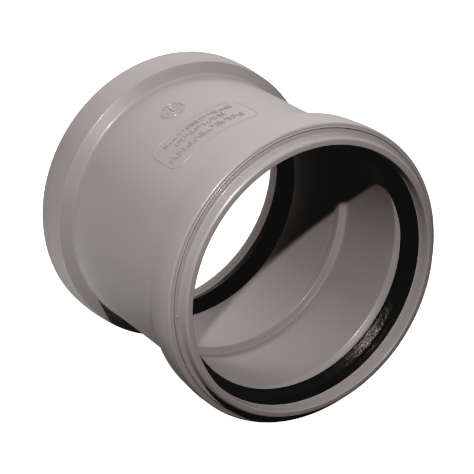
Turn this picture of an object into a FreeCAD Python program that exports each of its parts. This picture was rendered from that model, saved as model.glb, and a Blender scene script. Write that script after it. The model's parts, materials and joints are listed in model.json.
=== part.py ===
"""Push-fit drain pipe coupling: a straight double socket with a ring seal at each end.

The row frame has its origin at the middle of the coupling, on the axis. +X runs along the axis out of
socket A, and +Z is up with the coupling lying on its side. Units are millimetres.
"""
import FreeCAD, Part
import math
import os

# Driving dimensions
PIPE_BORE_R = 55.25          # socket wall, for a pipe of 110 mm outside diameter
OVERALL_LENGTH = 119.2
MOUTH_R = 56.4               # inside of the retaining cap
BODY_R = 58.2                # outside of the plain middle
HOUSING_R = 64.2             # outside of the seal housings
STOP_R = 52.4                # crest of the middle stop rib
STOP_HALF_WIDTH = 2.5

# Depths along the axis, measured inwards from a mouth
NOSE_DEPTH = 5.0             # from the mouth to the cap's flange
HOUSING_FRONT = 5.2          # the housing's front face, set back a little behind the flange
SEAL_FRONT = 6.6             # front of the seal groove
CROWN_DEPTH = 12.0           # where the slightly crowned housing is widest
SKIRT_END = 9.5              # inner end of the cap's skirt
LIP_DEPTH = 13.9             # narrowest place of the seal's lip
SEAL_BACK = 17.2             # rear face of the rubber ring
GROOVE_END = 18.2            # where the groove's outer wall meets its back wall
LEAD_IN_START = 20.0
LEAD_IN_END = 21.6           # the pipe bore is cylindrical from here to the stop rib
SHOULDER_TOP = 20.9          # outside: the housing's inner edge
SHOULDER_FOOT = 23.6         # outside: where the shoulder meets the plain body

# Radii of the small features
NOSE_R = 59.5
NOSE_ROOT_R = 59.8
FLANGE_R = 62.0
GROOVE_R = 60.9
LEAD_IN_R = 57.2
LIP_R = 55.1                 # the lip as it sits on a pipe, pressed back into its groove
LIP_HEEL_R = 57.6
NOSE_BACK_R = 56.2
HOUSING_FRONT_R = 64.0
SHOULDER_R = 63.5
STOP_DRAFT = 0.15            # how far each flank of the stop rib leans in

# Corner radii of the profiles
SHOULDER_FILLET = 1.8
SHOULDER_ROUND = 1.2
HOUSING_ROUND = 1.9
GROOVE_ROUND = 0.8
LEAD_IN_ROUND = 0.7
BORE_FILLET = 1.0
STOP_FILLET = 0.5
STOP_ROUND = 0.6
NOSE_ROUND = 0.9
NOSE_INNER_ROUND = 0.5
NOSE_FILLET = 0.5
FLANGE_ROUND = 0.35
NOSE_BACK_ROUND = 0.4
SEAL_ROUND = 0.5
LIP_ROUND = 0.6
SEAL_FRONT_ROUND = 0.3

# Raised moulding on the outside of the body
MARK_ANGLE = 112.0           # degrees from +Y towards +Z
MARK_HEIGHT = 0.35
MARK_LINE = 0.7
PANEL_X = 10.0
PANEL_LENGTH = 20.4          # along the axis
PANEL_WIDTH = 43.0           # across, before it wraps round the body
PANEL_CORNER = 5.0
DIAL_X = -14.0
DIAL_R = 5.1
POINTER_R = 1.0
PRISM_START = BODY_R * 0.7   # the tools that cut out the marks run from here
PRISM_LENGTH = BODY_R * 0.6
MARK_BAND = 60.0             # axial length of the ring that the marks are cut from

HALF = OVERALL_LENGTH / 2
AXIS_START = FreeCAD.Vector(0, 0, 0)
AXIS = FreeCAD.Vector(1, 0, 0)


def corner(point, before, after, radius):
    """Start, middle and end of the arc that rounds the corner at point."""
    to_before = (before - point).normalize()
    to_after = (after - point).normalize()
    half_angle = to_before.getAngle(to_after) / 2
    setback = radius / math.tan(half_angle)
    centre = point + (to_before + to_after).normalize() * (radius / math.sin(half_angle))
    middle = centre + (point - centre).normalize() * radius
    return point + to_before * setback, middle, point + to_after * setback


def outline(points):
    """Closed wire in the X-Z plane through (x, radius, corner radius) points."""
    places = [FreeCAD.Vector(x, 0, r) for x, r, _ in points]
    count = len(points)
    arcs = []
    for i, (_, _, rounding) in enumerate(points):
        if rounding > 0:
            arcs.append(corner(places[i], places[i - 1], places[(i + 1) % count], rounding))
        else:
            arcs.append((places[i], None, places[i]))
    edges = []
    for i, (start, middle, end) in enumerate(arcs):
        if middle is not None:
            edges.append(Part.Arc(start, middle, end).toShape())
        next_start = arcs[(i + 1) % count][0]
        if end.distanceToPoint(next_start) > 1e-6:
            edges.append(Part.LineSegment(end, next_start).toShape())
    return Part.Wire(edges)


def turned(points):
    """Solid of revolution about X from an outline of (x, radius, corner radius) points."""
    solid = Part.Face(outline(points)).revolve(AXIS_START, AXIS, 360)
    if solid.ShapeType != "Solid":
        solid = Part.Solid(solid.Shells[0])
    if solid.Volume < 0:
        solid.reverse()
    return solid


def from_mouth(side, profile):
    """Profile of (depth, radius, corner radius) points placed at the mouth on side +1 or -1."""
    return [(side * (HALF - depth), r, rounding) for depth, r, rounding in profile]


def mark_prism(points):
    """Prism through the wall at the marked side, from (x, across) points on the plane it faces."""
    turn = FreeCAD.Rotation(AXIS, MARK_ANGLE - 90)
    places = [turn.multVec(FreeCAD.Vector(x, -across, PRISM_START)) for x, across in points]
    outward = turn.multVec(FreeCAD.Vector(0, 0, PRISM_LENGTH))
    return Part.Face(Part.makePolygon(places)).extrude(outward)


def clipped_panel(length, width, clip):
    """Closed ring of points: a rectangle about PANEL_X with its corners cut off."""
    a = length / 2
    b = width / 2
    quarter = [(a, b - clip), (a - clip, b)]
    ring = quarter + [(-x, y) for x, y in reversed(quarter)]
    ring += [(-x, -y) for x, y in quarter] + [(x, -y) for x, y in reversed(quarter)]
    ring.append(ring[0])
    return [(PANEL_X + x, y) for x, y in ring]


def dial_prism(radius):
    """Radial cylinder through the wall at the dial."""
    turn = FreeCAD.Rotation(AXIS, MARK_ANGLE - 90)
    up = turn.multVec(FreeCAD.Vector(0, 0, 1))
    return Part.makeCylinder(radius, PRISM_LENGTH, FreeCAD.Vector(DIAL_X, 0, 0) + up * PRISM_START, up)


def raised_marks():
    """The moulded panel frame and the date dial, as thin walls that stand on the body."""
    band_start = FreeCAD.Vector(-MARK_BAND / 2, 0, 0)
    band = Part.makeCylinder(BODY_R + MARK_HEIGHT, MARK_BAND, band_start, AXIS)
    band = band.cut(Part.makeCylinder(BODY_R - MARK_HEIGHT, MARK_BAND, band_start, AXIS))
    inset = 2 * MARK_LINE
    inner_corner = PANEL_CORNER - (2 - math.sqrt(2)) * MARK_LINE
    outer = mark_prism(clipped_panel(PANEL_LENGTH, PANEL_WIDTH, PANEL_CORNER))
    inner = mark_prism(clipped_panel(PANEL_LENGTH - inset, PANEL_WIDTH - inset, inner_corner))
    frame = outer.cut(inner).common(band)
    dial = dial_prism(DIAL_R).cut(dial_prism(DIAL_R - MARK_LINE)).common(band)
    pointer = dial_prism(POINTER_R).common(band)
    return [frame, dial, pointer]


def coupling_body():
    """The moulded tube with both seal housings, both lead-in cones and the stop rib."""
    half = [
        (SHOULDER_FOOT, BODY_R, SHOULDER_FILLET),
        (SHOULDER_TOP, SHOULDER_R, SHOULDER_ROUND),
        (CROWN_DEPTH, HOUSING_R, 0),
        (HOUSING_FRONT, HOUSING_FRONT_R, HOUSING_ROUND),
        (HOUSING_FRONT, FLANGE_R, 0),
        (SKIRT_END, FLANGE_R, 0),
        (SKIRT_END, GROOVE_R, 0),
        (GROOVE_END, GROOVE_R, GROOVE_ROUND),
        (LEAD_IN_START, LEAD_IN_R, LEAD_IN_ROUND),
        (LEAD_IN_END, PIPE_BORE_R, BORE_FILLET),
        (HALF - STOP_HALF_WIDTH, PIPE_BORE_R, STOP_FILLET),
        (HALF - STOP_HALF_WIDTH + STOP_DRAFT, STOP_R, STOP_ROUND),
    ]
    body = turned(from_mouth(1, half) + from_mouth(-1, list(reversed(half))))
    for mark in raised_marks():
        body = body.fuse(mark)
    return body.removeSplitter()


def retaining_cap(side):
    """The collar that closes the seal groove: mouth nose, flange and skirt."""
    return turned(from_mouth(side, [
        (0, MOUTH_R, NOSE_INNER_ROUND),
        (0, NOSE_R, NOSE_ROUND),
        (NOSE_DEPTH, NOSE_ROOT_R, NOSE_FILLET),
        (NOSE_DEPTH, FLANGE_R, FLANGE_ROUND),
        (SKIRT_END, FLANGE_R, 0),
        (SKIRT_END, GROOVE_R, 0),
        (SEAL_FRONT, GROOVE_R, 0),
        (SEAL_FRONT, NOSE_BACK_R, NOSE_BACK_ROUND),
    ]))


def lip_seal(side):
    """The rubber ring, with its lip pressed back as it sits on a pipe."""
    return turned(from_mouth(side, [
        (SEAL_FRONT, GROOVE_R, 0),
        (SEAL_BACK, GROOVE_R, SEAL_ROUND),
        (SEAL_BACK, LIP_HEEL_R, SEAL_ROUND),
        (LIP_DEPTH, LIP_R, LIP_ROUND),
        (SEAL_FRONT, MOUTH_R, SEAL_FRONT_ROUND),
    ]))


def write_parts():
    """One STEP file for each node."""
    parts = {"coupling_body": coupling_body()}
    for name, side in (("a", 1), ("b", -1)):
        parts["retaining_cap_" + name] = retaining_cap(side)
        parts["lip_seal_" + name] = lip_seal(side)
    os.makedirs("parts", exist_ok=True)
    for node, shape in parts.items():
        shape.exportStep(os.path.join("parts", node + ".step"))
        print(node, shape.isValid(), len(shape.Solids), "solids", round(shape.Volume / 1000, 2), "cm3")


write_parts()
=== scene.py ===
import json
import math
import random

import bpy
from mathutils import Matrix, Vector


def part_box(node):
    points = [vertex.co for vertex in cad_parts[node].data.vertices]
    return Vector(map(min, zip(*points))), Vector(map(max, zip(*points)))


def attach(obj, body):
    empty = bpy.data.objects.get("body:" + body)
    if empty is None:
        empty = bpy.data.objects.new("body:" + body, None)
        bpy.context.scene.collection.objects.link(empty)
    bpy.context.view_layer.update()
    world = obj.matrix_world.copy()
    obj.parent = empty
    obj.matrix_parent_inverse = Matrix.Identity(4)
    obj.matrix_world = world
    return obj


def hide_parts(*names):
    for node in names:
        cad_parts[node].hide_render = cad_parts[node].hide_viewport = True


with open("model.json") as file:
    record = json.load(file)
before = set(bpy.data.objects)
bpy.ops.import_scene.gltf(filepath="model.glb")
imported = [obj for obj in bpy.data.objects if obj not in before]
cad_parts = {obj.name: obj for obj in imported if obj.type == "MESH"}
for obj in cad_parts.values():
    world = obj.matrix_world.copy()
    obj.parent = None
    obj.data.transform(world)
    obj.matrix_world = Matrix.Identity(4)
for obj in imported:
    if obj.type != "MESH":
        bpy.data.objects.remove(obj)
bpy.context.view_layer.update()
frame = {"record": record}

MM = 0.001
BODY = "root"

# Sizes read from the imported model, in metres
END_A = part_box("retaining_cap_a")[1].x
HOUSING_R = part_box("coupling_body")[1].y
FLANGE_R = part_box("retaining_cap_a")[1].y
GROOVE_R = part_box("lip_seal_a")[1].y
FLOOR_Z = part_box("coupling_body")[0].z
MOUNTS = {mount["name"]: mount for mount in frame["record"]["mounts"]}
PIPE_BORE_R = MOUNTS["socket_a"]["dims"]["r_mm"] * MM

# Radii
BODY_R = 58.2 * MM
STOP_R = 52.4 * MM
MOUTH_R = 56.4 * MM
NOSE_R = 59.5 * MM
NOSE_ROOT_R = 59.8 * MM
NOSE_BACK_R = 56.2 * MM
SHOULDER_R = 63.5 * MM
LEAD_IN_R = 57.2 * MM
FREE_LIP_R = 52.3 * MM

# Depths measured inwards from a mouth
NOSE_DEPTH = 5.0 * MM
SEAL_FRONT = 6.6 * MM
SKIRT_END = 9.5 * MM
LIP_DEPTH = 13.9 * MM
SEAL_BACK = 17.2 * MM
GROOVE_END = 18.2 * MM
LEAD_IN_START = 20.0 * MM
SHOULDER_TOP = 20.9 * MM
SHOULDER_FOOT = 23.6 * MM
LEAD_IN_END = 21.6 * MM
STOP_HALF_WIDTH = 2.5 * MM

# Gap between the flange and the housing's front, where the joint line shows
JOINT_GAP = 0.2 * MM

# Shallow sink line round the outside, over the stop rib
SINK_X = -1.2 * MM
SINK_HALF_WIDTH = 0.9 * MM
SINK_DEPTH = 0.06 * MM

# Raised moulding on the body's outside
MARK_ANGLE = math.radians(112)
MARK_HEIGHT = 0.35 * MM
MARK_LINE = 0.7 * MM
PANEL_X = 10.0 * MM
PANEL_LENGTH = 20.4 * MM
PANEL_WIDTH = 44.0 * MM
PANEL_CORNER = 5.0 * MM
CODE_HEIGHT = 0.4 * MM
CODE_BEVEL = 0.12 * MM
DIAL_X = -14.0 * MM
DIAL_R = 5.1 * MM
FRAME_WIDTH = 0.55 * MM
FRAME_HEIGHT = 0.2 * MM
CODE_SEED = 7
NIB_SIZE = 0.45 * MM

TURN_STEPS = 288
ARC_STEPS = 7

# Colours, linear
PLASTIC_LIGHT = (0.258, 0.228, 0.219, 1.0)
PLASTIC_DARK = (0.222, 0.208, 0.195, 1.0)
RUBBER = (0.010, 0.0115, 0.010, 1.0)


# ---------------------------------------------------------------- mesh tools

def rounded(points):
    """Closed outline through (x, r, corner radius) points, with each corner turned into an arc."""
    outline = []
    count = len(points)
    for i, (x, r, radius) in enumerate(points):
        here = Vector((x, r))
        if radius <= 0:
            outline.append(here)
            continue
        to_last = (Vector(points[i - 1][:2]) - here).normalized()
        to_next = (Vector(points[(i + 1) % count][:2]) - here).normalized()
        half = to_last.angle(to_next) / 2
        setback = radius / math.tan(half)
        centre = here + (to_last + to_next).normalized() * (radius / math.sin(half))
        start = here + to_last * setback - centre
        end = here + to_next * setback - centre
        swing = start.angle_signed(end)
        for step in range(ARC_STEPS + 1):
            turn = -swing * step / ARC_STEPS
            across = Vector((
                start.x * math.cos(turn) - start.y * math.sin(turn),
                start.x * math.sin(turn) + start.y * math.cos(turn),
            ))
            outline.append(centre + across)
    return outline


def mesh_object(name, vertices, faces, sharp_degrees=38):
    """A smooth-shaded object with sharp edges above the given angle."""
    mesh = bpy.data.meshes.new(name)
    mesh.from_pydata(vertices, [], faces)
    mesh.validate()
    mesh.shade_smooth()
    mesh.set_sharp_from_angle(angle=math.radians(sharp_degrees))
    piece = bpy.data.objects.new(name, mesh)
    bpy.context.scene.collection.objects.link(piece)
    return piece


def lathe(name, outline, steps=TURN_STEPS):
    """Closed outline of (x, r) points turned about the X axis."""
    count = len(outline)
    vertices = []
    for turn in range(steps):
        angle = 2 * math.pi * turn / steps
        vertices += [(p.x, p.y * math.cos(angle), p.y * math.sin(angle)) for p in outline]
    faces = []
    for turn in range(steps):
        this, following = turn * count, (turn + 1) % steps * count
        for i in range(count):
            j = (i + 1) % count
            faces.append((this + i, following + i, following + j, this + j))
    return mesh_object(name, vertices, faces)


def from_mouth(side, profile):
    """(depth, radius, corner) points placed at the mouth on side +1 or -1, in the same turning sense."""
    placed = [(side * (END_A - depth), r, corner) for depth, r, corner in profile]
    return placed if side > 0 else placed[::-1]


def on_body(x, across, height):
    """Point on the body's outside at (x, distance round it from the marks' middle), raised by height."""
    angle = MARK_ANGLE + across / BODY_R
    r = BODY_R + height
    return (x, r * math.cos(angle), r * math.sin(angle))


# ---------------------------------------------------------------- materials

def new_material(name):
    """A node material and its principled shader."""
    material = bpy.data.materials.new(name)
    material.use_nodes = True
    return material, material.node_tree.nodes, material.node_tree.links


def noise(nodes, links, place, scale, detail=3.0, roughness=0.5, distortion=0.0):
    """Noise texture fed by a coordinate socket."""
    texture = nodes.new("ShaderNodeTexNoise")
    texture.inputs["Scale"].default_value = scale
    texture.inputs["Detail"].default_value = detail
    texture.inputs["Roughness"].default_value = roughness
    texture.inputs["Distortion"].default_value = distortion
    links.new(place, texture.inputs["Vector"])
    return texture


def stretched(nodes, links, place, scale):
    """Coordinates scaled differently along each axis."""
    mapping = nodes.new("ShaderNodeMapping")
    mapping.inputs["Scale"].default_value = scale
    links.new(place, mapping.inputs["Vector"])
    return mapping.outputs["Vector"]


def ramp(nodes, links, value, stops):
    """Colour ramp through (position, colour) stops."""
    band = nodes.new("ShaderNodeValToRGB")
    elements = band.color_ramp.elements
    while len(elements) < len(stops):
        elements.new(0.5)
    for element, (position, colour) in zip(elements, stops):
        element.position = position
        element.color = colour
    links.new(value, band.inputs["Fac"])
    return band.outputs["Color"]


def spread(nodes, links, value, low, high, to_low, to_high):
    """Map Range node, clamped."""
    node = nodes.new("ShaderNodeMapRange")
    node.inputs["From Min"].default_value = low
    node.inputs["From Max"].default_value = high
    node.inputs["To Min"].default_value = to_low
    node.inputs["To Max"].default_value = to_high
    links.new(value, node.inputs["Value"])
    return node.outputs["Result"]


def bump(nodes, links, height, strength, distance, below=None):
    """Bump node, stacked on another one's normal if given."""
    node = nodes.new("ShaderNodeBump")
    node.inputs["Strength"].default_value = strength
    node.inputs["Distance"].default_value = distance
    links.new(height, node.inputs["Height"])
    if below is not None:
        links.new(below, node.inputs["Normal"])
    return node.outputs["Normal"]


def speckled(nodes, links, place, tone):
    """The same colour with a few small dark specks in it."""
    cells = nodes.new("ShaderNodeTexVoronoi")
    cells.inputs["Scale"].default_value = 60
    links.new(place, cells.inputs["Vector"])
    clear = spread(nodes, links, cells.outputs["Distance"], 0.012, 0.024, 0.25, 1.0)
    mixed = nodes.new("ShaderNodeVectorMath")
    mixed.operation = "SCALE"
    links.new(tone, mixed.inputs[0])
    links.new(clear, mixed.inputs["Scale"])
    return mixed.outputs["Vector"]


def moulded_plastic(name):
    """Satin warm-grey moulded plastic: faint flow mottling, fine peel, drag marks along the axis, specks."""
    material, nodes, links = new_material(name)
    shader = nodes["Principled BSDF"]
    place = nodes.new("ShaderNodeTexCoord").outputs["Object"]
    flow = noise(nodes, links, stretched(nodes, links, place, (0.35, 1, 1)), 38, 2, 0.5)
    tone = ramp(nodes, links, flow.outputs["Fac"], [(0.1, PLASTIC_DARK), (0.9, PLASTIC_LIGHT)])
    links.new(speckled(nodes, links, place, tone), shader.inputs["Base Color"])
    fine = noise(nodes, links, place, 900, 2, 0.5)
    links.new(spread(nodes, links, flow.outputs["Fac"], 0.1, 0.9, 0.34, 0.42), shader.inputs["Roughness"])
    soft = noise(nodes, links, place, 150, 2, 0.5)
    drag = noise(nodes, links, stretched(nodes, links, place, (0.03, 1, 1)), 1400, 2, 0.6)
    normal = bump(nodes, links, soft.outputs["Fac"], 0.10, 0.0006)
    normal = bump(nodes, links, drag.outputs["Fac"], 0.05, 0.00015, normal)
    normal = bump(nodes, links, fine.outputs["Fac"], 0.08, 0.00015, normal)
    links.new(normal, shader.inputs["Normal"])
    shader.inputs["IOR"].default_value = 1.5
    shader.inputs["Coat Weight"].default_value = 0.15
    shader.inputs["Coat Roughness"].default_value = 0.12
    return material


def seal_rubber(name):
    """Black rubber with a sheen broken up by a dimpled skin and fine streaks round the ring."""
    material, nodes, links = new_material(name)
    shader = nodes["Principled BSDF"]
    place = nodes.new("ShaderNodeTexCoord").outputs["Object"]
    cloud = noise(nodes, links, place, 240, 4, 0.6, 0.4)
    tone = ramp(nodes, links, cloud.outputs["Fac"],
                [(0.25, (0.005, 0.007, 0.005, 1)), (0.55, RUBBER), (0.8, (0.014, 0.016, 0.013, 1))])
    links.new(tone, shader.inputs["Base Color"])
    links.new(spread(nodes, links, cloud.outputs["Fac"], 0.3, 0.7, 0.27, 0.50), shader.inputs["Roughness"])
    streak = noise(nodes, links, stretched(nodes, links, place, (6, 1, 1)), 170, 4, 0.65)
    dimple = noise(nodes, links, place, 650, 3, 0.6)
    normal = bump(nodes, links, streak.outputs["Fac"], 0.5, 0.0008)
    normal = bump(nodes, links, dimple.outputs["Fac"], 0.35, 0.0003, normal)
    links.new(normal, shader.inputs["Normal"])
    shader.inputs["IOR"].default_value = 1.45
    shader.inputs["Specular Tint"].default_value = (1.0, 0.88, 0.86, 1.0)
    return material


# ---------------------------------------------------------------- pieces

def finish_piece(piece, material, slot, *nodes_replaced):
    """Material and body for one piece; the slot argument is not used."""
    piece.data.materials.append(material)
    if nodes_replaced:
        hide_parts(*nodes_replaced)
    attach(piece, BODY)
    return piece


def body_outline():
    """Outside from the middle to a mouth, then back along the bore, mirrored for the other end."""
    front = NOSE_DEPTH + JOINT_GAP
    stop_foot = END_A - STOP_HALF_WIDTH
    half = [
        (SHOULDER_FOOT, BODY_R, 1.6 * MM),
        (SHOULDER_TOP, SHOULDER_R, 0.9 * MM),
        (12.0 * MM, HOUSING_R, 25 * MM),
        (front + 0.1 * MM, HOUSING_R - 0.2 * MM, 1.1 * MM),
        (front + 0.25 * MM, FLANGE_R + 1.0 * MM, 0.3 * MM),
        (front + 0.25 * MM, FLANGE_R + 0.6 * MM, 0.2 * MM),
        (front - 0.05 * MM, FLANGE_R + 0.4 * MM, 0.2 * MM),
        (front - 0.05 * MM, FLANGE_R, 0.15 * MM),
        (SKIRT_END, FLANGE_R, 0),
        (SKIRT_END, GROOVE_R, 0),
        (GROOVE_END, GROOVE_R, 0.8 * MM),
        (LEAD_IN_START, LEAD_IN_R, 0.45 * MM),
        (LEAD_IN_END, PIPE_BORE_R, 1.0 * MM),
        (stop_foot - 4.5 * MM, PIPE_BORE_R, 6.0 * MM),
        (stop_foot - 0.9 * MM, PIPE_BORE_R + 0.25 * MM, 0.7 * MM),
        (stop_foot, PIPE_BORE_R, 0.3 * MM),
        (stop_foot + 0.7 * MM, STOP_R, 0.4 * MM),
    ]
    sink = [
        (SINK_X - SINK_HALF_WIDTH, BODY_R, 0.8 * MM),
        (SINK_X, BODY_R - SINK_DEPTH, 0.4 * MM),
        (SINK_X + SINK_HALF_WIDTH, BODY_R, 0.8 * MM),
    ]
    return rounded(sink + from_mouth(1, half) + from_mouth(-1, half))


def cap_outline(side):
    """Mouth nose, flange and skirt."""
    return rounded(from_mouth(side, [
        (0, MOUTH_R, 0.45 * MM),
        (3.6 * MM, MOUTH_R, 0.1 * MM),
        (3.9 * MM, MOUTH_R + 0.1 * MM, 0.1 * MM),
        (4.3 * MM, MOUTH_R, 0.1 * MM),
        (5.8 * MM, NOSE_BACK_R + 0.1 * MM, 0.2 * MM),
        (6.2 * MM, NOSE_BACK_R - 0.1 * MM, 0.2 * MM),
        (SEAL_FRONT, NOSE_BACK_R, 0.15 * MM),
        (SEAL_FRONT, GROOVE_R, 0),
        (SKIRT_END, GROOVE_R, 0),
        (SKIRT_END, FLANGE_R, 0),
        (NOSE_DEPTH + 0.8 * MM, FLANGE_R, 0),
        (NOSE_DEPTH + 0.7 * MM, FLANGE_R - 0.3 * MM, 0),
        (NOSE_DEPTH, FLANGE_R - 0.35 * MM, 0.25 * MM),
        (NOSE_DEPTH, NOSE_ROOT_R, 0.5 * MM),
        (0.8 * MM, NOSE_R, 0.6 * MM),
        (0.15 * MM, NOSE_R - 0.8 * MM, 0.6 * MM),
    ]))


def seal_outline(side):
    """Ring with a small front bead and a free lip that leans inwards."""
    return rounded(from_mouth(side, [
        (SEAL_FRONT, GROOVE_R, 0),
        (SEAL_FRONT, 56.0 * MM, 0.2 * MM),
        (8.1 * MM, 55.7 * MM, 0.15 * MM),
        (8.4 * MM, 55.2 * MM, 0.2 * MM),
        (9.1 * MM, 55.05 * MM, 0.3 * MM),
        (10.2 * MM, 54.9 * MM, 1.5 * MM),
        (LIP_DEPTH, FREE_LIP_R, 0.5 * MM),
        (LIP_DEPTH + 0.9 * MM, FREE_LIP_R + 1.0 * MM, 0.4 * MM),
        (SEAL_BACK - 1.5 * MM, 57.8 * MM, 0.8 * MM),
        (SEAL_BACK, 58.6 * MM, 0.5 * MM),
        (SEAL_BACK, GROOVE_R, 0.5 * MM),
    ]))


def panel_ring(length, width, corner, steps=8):
    """Rounded rectangle round the panel's middle as (x, across) points."""
    ring = []
    for quarter in range(4):
        turn = quarter * math.pi / 2
        sx = (1, -1, -1, 1)[quarter]
        sy = (1, 1, -1, -1)[quarter]
        centre = (sx * (length / 2 - corner), sy * (width / 2 - corner))
        for step in range(steps + 1):
            angle = turn + step / steps * math.pi / 2
            x = PANEL_X + centre[0] + corner * math.cos(angle)
            ring.append((x, centre[1] + corner * math.sin(angle)))
    return ring


def subdivided(ring, longest):
    """The same closed ring with no side longer than given, so that it follows the round body."""
    fine = []
    for i, start in enumerate(ring):
        end = ring[(i + 1) % len(ring)]
        pieces = max(1, math.ceil(math.dist(start, end) / longest))
        for step in range(pieces):
            part = step / pieces
            fine.append((start[0] + (end[0] - start[0]) * part, start[1] + (end[1] - start[1]) * part))
    return fine


def raised_line(ring, width, height):
    """Vertices and faces of a rounded raised line along a closed ring of (x, across) points."""
    count = len(ring)
    section = ((-0.62, -0.3), (-0.5, 0.35), (-0.28, 0.9), (0, 1.0), (0.28, 0.9), (0.5, 0.35), (0.62, -0.3))
    vertices = []
    faces = []
    for i, here in enumerate(ring):
        last = ring[i - 1]
        following = ring[(i + 1) % count]
        along = Vector((following[0] - last[0], following[1] - last[1])).normalized()
        for offset, lift in section:
            x = here[0] + along.y * offset * width
            across = here[1] - along.x * offset * width
            vertices.append(on_body(x, across, lift * height))
    size = len(section)
    for i in range(count):
        j = (i + 1) % count
        for k in range(size):
            n = (k + 1) % size
            faces.append((i * size + k, i * size + n, j * size + n, j * size + k))
    return vertices, faces


def raised_block(x, across, length, width, height, bevel):
    """Vertices and faces of one raised pad with a bevelled top, wrapped on the body."""
    steps = max(2, math.ceil(width / (1.2 * MM)))
    vertices = []
    for inset, lift in ((0, -0.25), (0, 0.45), (bevel, 1.0)):
        for row in range(steps + 1):
            y = across - width / 2 + inset + (width - 2 * inset) * row / steps
            for sign in (-1, 1):
                vertices.append(on_body(x + sign * (length / 2 - inset), y, lift * height))
    faces = []
    layer = 2 * (steps + 1)
    for level in range(2):
        low, high = level * layer, (level + 1) * layer
        for row in range(steps):
            a, b = 2 * row, 2 * row + 2
            faces.append((low + a, high + a, high + b, low + b))
            faces.append((low + a + 1, low + b + 1, high + b + 1, high + a + 1))
        faces.append((low, low + 1, high + 1, high))
        last = 2 * steps
        faces.append((low + last, high + last, high + last + 1, low + last + 1))
    for row in range(steps):
        a, b = 2 * row, 2 * row + 2
        faces.append((a, b, b + 1, a + 1))
        top = 2 * layer
        faces.append((top + a, top + a + 1, top + b + 1, top + b))
    return vertices, faces


def joined(parts):
    """One list of vertices and one of faces from several."""
    vertices, faces = [], []
    for more_vertices, more_faces in parts:
        start = len(vertices)
        vertices += more_vertices
        faces += [tuple(start + i for i in face) for face in more_faces]
    return vertices, faces


def code_rows():
    """Three rows of abstract raised pads: bars, dots and dashes, with no lettering."""
    chance = random.Random(CODE_SEED)
    # For each row: middle along the axis, height of the marks, and where it starts and ends round the body
    rows = (
        (13.9 * MM, 3.2 * MM, 20.0 * MM, -17.0 * MM),
        (8.4 * MM, 2.5 * MM, 13.0 * MM, -12.5 * MM),
        (4.0 * MM, 2.5 * MM, 16.5 * MM, -17.0 * MM),
    )
    pads = []
    for x, tall, start, end in rows:
        across = start
        while across > end:
            width = chance.choice((0.6, 0.6, 0.9, 1.4)) * MM
            kind = chance.choice(("bar", "bar", "split", "low", "high"))
            middle = across - width / 2
            if kind == "split":
                for sign in (-1, 1):
                    centre = x + sign * tall * 0.3
                    pads.append(raised_block(centre, middle, tall * 0.36, width, CODE_HEIGHT, CODE_BEVEL))
            else:
                length = tall if kind == "bar" else tall * 0.5
                shift = {"bar": 0, "low": -0.25, "high": 0.25}[kind] * tall
                pads.append(raised_block(x + shift, middle, length, width, CODE_HEIGHT, CODE_BEVEL))
            across -= width + chance.choice((0.4, 0.5, 0.6, 1.1)) * MM
    return joined(pads)


def dial_ring(radius, steps=64):
    """Circle round the dial's middle as (x, across) points."""
    angles = [2 * math.pi * step / steps for step in range(steps)]
    return [(DIAL_X + radius * math.cos(a), radius * math.sin(a)) for a in angles]


def date_dial():
    """Generic mould dial: outer ring, inner ring, twelve dots and a pointer."""
    parts = [raised_line(dial_ring(DIAL_R), MARK_LINE, MARK_HEIGHT)]
    parts.append(raised_line(dial_ring(DIAL_R * 0.5, 40), 0.5 * MM, 0.25 * MM))
    for hour in range(12):
        angle = math.pi / 6 * hour
        x = DIAL_X + DIAL_R * 0.76 * math.cos(angle)
        across = DIAL_R * 0.76 * math.sin(angle)
        parts.append(raised_block(x, across, 0.7 * MM, 0.7 * MM, 0.25 * MM, 0.15 * MM))
    parts.append(raised_block(DIAL_X, 0, 4.2 * MM, 0.9 * MM, 0.4 * MM, 0.2 * MM))
    return joined(parts)


def cap_nibs():
    """Two tiny gate marks on the near cap's nose wall and one on its flange."""
    # For each mark: depth and radius in millimetres, degrees from +Y towards +Z, and length over width
    marks = ((3.2, 107.7, 59.7, 0.9), (4.9, -178.3, 60.9, 1.6), (2.6, -176.5, 59.6, 0.7))
    parts = []
    for depth, degrees, radius, stretch in marks:
        angle = math.radians(degrees)
        ring = []
        for lift, grow in ((-0.3, 1.0), (0.35, 0.55)):
            for along, across in ((-1, -1), (1, -1), (1, 1), (-1, 1)):
                r = (radius + lift) * MM
                turn = angle + across * NIB_SIZE * grow / r
                x = END_A - depth * MM + along * NIB_SIZE * stretch * grow
                ring.append((x, r * math.cos(turn), r * math.sin(turn)))
        sides = [(i, (i + 1) % 4, 4 + (i + 1) % 4, 4 + i) for i in range(4)]
        parts.append((ring, [(3, 2, 1, 0), (4, 5, 6, 7)] + sides))
    return joined(parts)


def build_coupling():
    """All pieces of the coupling."""
    body_plastic = moulded_plastic("body_plastic_fine")
    cap_plastic = moulded_plastic("cap_plastic_fine")
    rubber = seal_rubber("seal_rubber_fine")
    body = lathe("body_moulding", body_outline())
    finish_piece(body, body_plastic, "body_plastic", "coupling_body")
    frame_line = raised_line(
        subdivided(panel_ring(PANEL_LENGTH, PANEL_WIDTH, PANEL_CORNER), 1.0 * MM), FRAME_WIDTH, FRAME_HEIGHT)
    finish_piece(mesh_object("panel_frame", *frame_line), body_plastic, "body_plastic")
    finish_piece(mesh_object("panel_code", *code_rows(), 30), body_plastic, "body_plastic")
    finish_piece(mesh_object("mould_dial", *date_dial(), 30), body_plastic, "body_plastic")
    finish_piece(mesh_object("cap_nibs", *cap_nibs(), 30), cap_plastic, "cap_plastic")
    for end, side in (("a", 1), ("b", -1)):
        cap = lathe("cap_" + end, cap_outline(side))
        finish_piece(cap, cap_plastic, "cap_plastic", "retaining_cap_" + end)
        seal = lathe("seal_" + end, seal_outline(side))
        finish_piece(seal, rubber, "seal_rubber", "lip_seal_" + end)


# ---------------------------------------------------------------- studio

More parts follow.
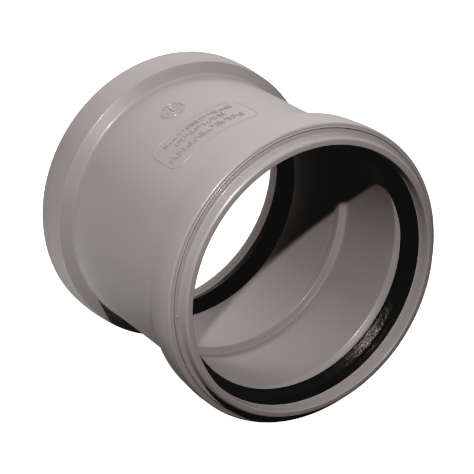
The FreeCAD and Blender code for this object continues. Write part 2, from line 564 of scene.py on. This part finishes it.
CAMERA_AIM = Vector((1.2, 0.0, -2.3)) * MM
CAMERA_AZIMUTH = math.radians(57.79)
CAMERA_ELEVATION = math.radians(23.56)
CAMERA_DISTANCE = 748.5 * MM
CAMERA_LENS = 134.65
KEY_AZIMUTH = math.radians(57.5)
KEY_ELEVATION = math.radians(38.5)
KEY_DISTANCE = 650.0 * MM
KEY_WATTS = 18.2
KEY_RADIUS = 8.0 * MM
FRONT_AZIMUTH = math.radians(-4.0)
FRONT_ELEVATION = math.radians(12.0)
FRONT_STRENGTH = 1.35
FRONT_ANGLE = math.radians(30.0)
OVERHEAD_WAY = Vector((-0.45, 0.50, 0.74)).normalized()
OVERHEAD_START = 0.3
OVERHEAD_STRENGTH = 1.7
FILL_AT = Vector((-85.0, -130.0, -105.0)) * MM
FILL_LENGTH = 60.0 * MM
FILL_HEIGHT = 40.0 * MM
FILL_WATTS = 0.19
FLOOR_HALF = 3.0
GRADE_BLACK = (0.0, 0.004)
GRADE_POINTS = ((0.03, 0.007), (0.05, 0.013), (0.10, 0.062), (0.20, 0.182), (0.5, 0.5))


def direction(azimuth, elevation):
    """Unit vector from the object; azimuth 0 is -Y and 90 degrees is +X."""
    flat = math.cos(elevation)
    return Vector((math.sin(azimuth) * flat, -math.cos(azimuth) * flat, math.sin(elevation)))


def make_camera():
    """Long-lens camera above and to the side of mouth A, and the scene's camera."""
    data = bpy.data.cameras.new("camera")
    data.lens = CAMERA_LENS
    data.sensor_width = 36
    camera = bpy.data.objects.new("camera", data)
    toward = direction(CAMERA_AZIMUTH, CAMERA_ELEVATION)
    camera.location = CAMERA_AIM + toward * CAMERA_DISTANCE
    camera.rotation_euler = (-toward).to_track_quat("-Z", "Y").to_euler()
    bpy.context.scene.collection.objects.link(camera)
    bpy.context.scene.camera = camera


def make_key_light():
    """Small lamp above the camera, which throws the crisp shadow into the mouth."""
    data = bpy.data.lights.new("key", "POINT")
    data.energy = KEY_WATTS
    data.shadow_soft_size = KEY_RADIUS
    lamp = bpy.data.objects.new("key", data)
    lamp.location = direction(KEY_AZIMUTH, KEY_ELEVATION) * KEY_DISTANCE
    lamp.visible_camera = False
    bpy.context.scene.collection.objects.link(lamp)


def make_front_light():
    """Wide soft light from the left of the camera."""
    data = bpy.data.lights.new("front", "SUN")
    data.energy = FRONT_STRENGTH
    data.color = (0.98, 1.0, 0.99)
    data.angle = FRONT_ANGLE
    lamp = bpy.data.objects.new("front", data)
    lamp.rotation_euler = (-direction(FRONT_AZIMUTH, FRONT_ELEVATION)).to_track_quat("-Z", "Y").to_euler()
    lamp.visible_glossy = False
    bpy.context.scene.collection.objects.link(lamp)


def make_fill_light():
    """Soft light from the lower left, under the floor, for the light that a table throws back."""
    data = bpy.data.lights.new("fill", "AREA")
    data.shape = "RECTANGLE"
    data.size = FILL_LENGTH
    data.size_y = FILL_HEIGHT
    data.energy = FILL_WATTS
    data.color = (0.97, 1.0, 0.99)
    lamp = bpy.data.objects.new("fill", data)
    lamp.location = FILL_AT
    lamp.visible_glossy = False
    lamp.visible_camera = False
    lamp.rotation_euler = (-FILL_AT).to_track_quat("-Z", "Y").to_euler()
    bpy.context.scene.collection.objects.link(lamp)


def make_world():
    """Broad soft light overhead and behind, fading to nothing towards the horizon."""
    world = bpy.data.worlds.new("studio")
    world.use_nodes = True
    bpy.context.scene.world = world
    nodes, links = world.node_tree.nodes, world.node_tree.links
    place = nodes.new("ShaderNodeTexCoord").outputs["Generated"]
    facing = nodes.new("ShaderNodeVectorMath")
    facing.operation = "DOT_PRODUCT"
    facing.inputs[1].default_value = OVERHEAD_WAY
    links.new(place, facing.inputs[0])
    level = spread(nodes, links, facing.outputs["Value"], OVERHEAD_START, 1, 0.0, OVERHEAD_STRENGTH)
    background = nodes["Background"]
    background.inputs["Color"].default_value = (1.0, 0.965, 0.95, 1.0)
    links.new(level, background.inputs["Strength"])


def make_floor():
    """Plain pale floor, which the camera sees and which neither lights nor shades the coupling."""
    half = FLOOR_HALF
    corners = [(-half, -half, FLOOR_Z), (half, -half, FLOOR_Z), (half, half, FLOOR_Z), (-half, half, FLOOR_Z)]
    floor = mesh_object("studio_floor", corners, [(0, 1, 2, 3)])
    material, nodes, links = new_material("pale_floor")
    shader = nodes["Principled BSDF"]
    place = nodes.new("ShaderNodeTexCoord").outputs["Object"]
    paper = noise(nodes, links, place, 60, 3, 0.5)
    stops = [(0.3, (0.86, 0.86, 0.85, 1)), (0.7, (0.88, 0.88, 0.87, 1))]
    tone = ramp(nodes, links, paper.outputs["Fac"], stops)
    links.new(tone, shader.inputs["Base Color"])
    shader.inputs["Roughness"].default_value = 0.9
    shader.inputs["Emission Color"].default_value = (1.0, 1.0, 0.99, 1.0)
    shader.inputs["Emission Strength"].default_value = 1.0
    floor.data.materials.append(material)
    floor.visible_diffuse = False
    floor.visible_glossy = False
    floor.visible_shadow = False


def set_grade():
    """Plain view transform with a curve that deepens the darkest tones."""
    grade = bpy.context.scene.view_settings
    grade.view_transform = "Standard"
    grade.use_curve_mapping = True
    curve = grade.curve_mapping.curves[3]
    curve.points[0].location = GRADE_BLACK
    for place in GRADE_POINTS:
        curve.points.new(*place)
    grade.curve_mapping.update()


build_coupling()
make_camera()
make_key_light()
make_front_light()
make_fill_light()
make_world()
make_floor()
set_grade()
